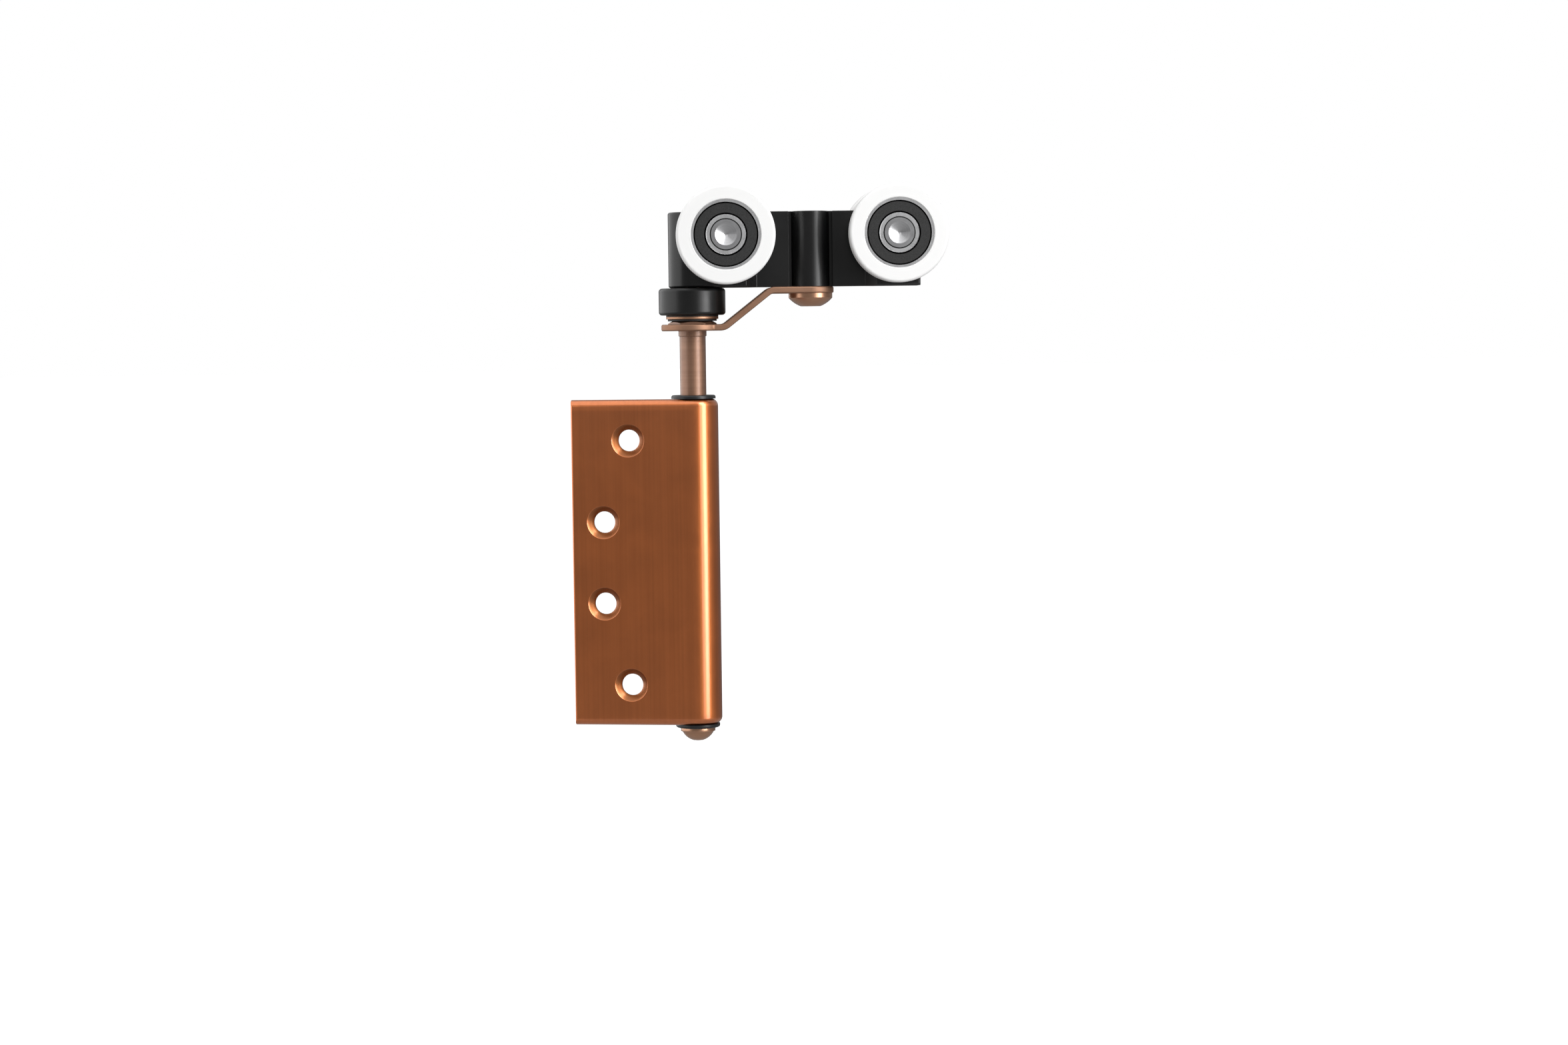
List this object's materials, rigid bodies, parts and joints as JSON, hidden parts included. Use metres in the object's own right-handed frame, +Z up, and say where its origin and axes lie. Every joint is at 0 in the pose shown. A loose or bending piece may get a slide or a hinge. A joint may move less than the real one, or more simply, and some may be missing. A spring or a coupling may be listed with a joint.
{
  "type": "top-hung sliding door pivot hinge",
  "caption": "Four-wheel top-hung track carriage with a guide roller and a pivot shaft that carries a screw-on hinge leaf for a folding or sliding door.",
  "frame": {"origin": "centre of the guide roller, on the pivot axis", "axes": "+Z up along the pivot shaft, +X along the track towards the wheels, the leaf points towards -X with its countersunk face towards -Y; in this pose its free edge is swung 12 degrees towards +Y"},
  "size_m": [0.1151, 0.0332, 0.1698],
  "materials": {
    "body_black": "satin black, drawn profile",
    "bronze_plate": "brushed, copper-bronze plated steel",
    "bronze_shaft": "turned, copper-bronze plated steel",
    "copper_strap": "copper-bronze plated steel",
    "black_washer": "matt black",
    "black_bush": "smooth matt black",
    "black_roller": "smooth black, half gloss",
    "white_tyre": "smooth white",
    "bearing_steel": "ground steel",
    "ball_steel": "polished steel",
    "seal_rubber": "black, finely textured",
    "cage_nylon": "natural nylon",
    "axle_steel": "bright steel, head spread by riveting"
  },
  "bodies": {
    "carriage": {"carriage_body": "body_black", "axle_left": "axle_steel", "axle_right": "axle_steel", "pivot_shaft": "bronze_shaft", "friction_washer_upper": "black_washer", "metal_washer": "copper_strap", "friction_washer_lower": "black_washer", "locking_strap": "copper_strap", "strap_screw": "copper_strap", "dome_screw": "bronze_shaft", "inner_ring_front_left": "bearing_steel", "inner_ring_front_right": "bearing_steel", "inner_ring_rear_left": "bearing_steel", "inner_ring_rear_right": "bearing_steel", "spacer_front_left": "axle_steel", "spacer_front_right": "axle_steel", "spacer_rear_left": "axle_steel", "spacer_rear_right": "axle_steel"},
    "guide_roller": {"guide_roller": "black_roller"},
    "leaf": {"hinge_leaf": "bronze_plate", "bush_upper": "black_bush", "bush_lower": "black_bush"},
    "wheel_front_left": {"tyre_front_left": "white_tyre", "outer_ring_front_left": "bearing_steel", "seals_front_left": "seal_rubber"},
    "ball_set_front_left": {"balls_front_left": "ball_steel", "ball_cage_front_left": "cage_nylon"},
    "wheel_front_right": {"tyre_front_right": "white_tyre", "outer_ring_front_right": "bearing_steel", "seals_front_right": "seal_rubber"},
    "ball_set_front_right": {"balls_front_right": "ball_steel", "ball_cage_front_right": "cage_nylon"},
    "wheel_rear_left": {"tyre_rear_left": "white_tyre", "outer_ring_rear_left": "bearing_steel", "seals_rear_left": "seal_rubber"},
    "ball_set_rear_left": {"balls_rear_left": "ball_steel", "ball_cage_rear_left": "cage_nylon"},
    "wheel_rear_right": {"tyre_rear_right": "white_tyre", "outer_ring_rear_right": "bearing_steel", "seals_rear_right": "seal_rubber"},
    "ball_set_rear_right": {"balls_rear_right": "ball_steel", "ball_cage_rear_right": "cage_nylon"}
  },
  "joints": [
    {"name": "leaf_swing", "type": "hinge", "parent": "carriage", "child": "leaf", "pos_m": [0, 0, -0.0796], "axis": [0, 0, 1], "range_deg": [-78, 102]},
    {"name": "guide_roller_spin", "type": "hinge", "parent": "carriage", "child": "guide_roller", "pos_m": [0, 0, 0], "axis": [0, 0, 1], "continuous": true},
    {"name": "wheel_spin_front_left", "type": "hinge", "parent": "carriage", "child": "wheel_front_left", "pos_m": [0.0101, -0.0126, 0.02], "axis": [0, 1, 0], "continuous": true},
    {"name": "ball_spin_front_left", "type": "hinge", "parent": "carriage", "child": "ball_set_front_left", "pos_m": [0.0101, -0.0126, 0.02], "axis": [0, 1, 0], "continuous": true},
    {"name": "wheel_spin_front_right", "type": "hinge", "parent": "carriage", "child": "wheel_front_right", "pos_m": [0.0625, -0.0126, 0.02], "axis": [0, 1, 0], "continuous": true},
    {"name": "ball_spin_front_right", "type": "hinge", "parent": "carriage", "child": "ball_set_front_right", "pos_m": [0.0625, -0.0126, 0.02], "axis": [0, 1, 0], "continuous": true},
    {"name": "wheel_spin_rear_left", "type": "hinge", "parent": "carriage", "child": "wheel_rear_left", "pos_m": [0.0101, 0.0126, 0.02], "axis": [0, 1, 0], "continuous": true},
    {"name": "ball_spin_rear_left", "type": "hinge", "parent": "carriage", "child": "ball_set_rear_left", "pos_m": [0.0101, 0.0126, 0.02], "axis": [0, 1, 0], "continuous": true},
    {"name": "wheel_spin_rear_right", "type": "hinge", "parent": "carriage", "child": "wheel_rear_right", "pos_m": [0.0625, 0.0126, 0.02], "axis": [0, 1, 0], "continuous": true},
    {"name": "ball_spin_rear_right", "type": "hinge", "parent": "carriage", "child": "ball_set_rear_right", "pos_m": [0.0625, 0.0126, 0.02], "axis": [0, 1, 0], "continuous": true}
  ],
  "couplings": [
    {"joint": "ball_spin_front_left", "follows": "wheel_spin_front_left", "ratio": 0.6233},
    {"joint": "ball_spin_front_right", "follows": "wheel_spin_front_right", "ratio": 0.6233},
    {"joint": "ball_spin_rear_left", "follows": "wheel_spin_rear_left", "ratio": 0.6233},
    {"joint": "ball_spin_rear_right", "follows": "wheel_spin_rear_right", "ratio": 0.6233}
  ]
}
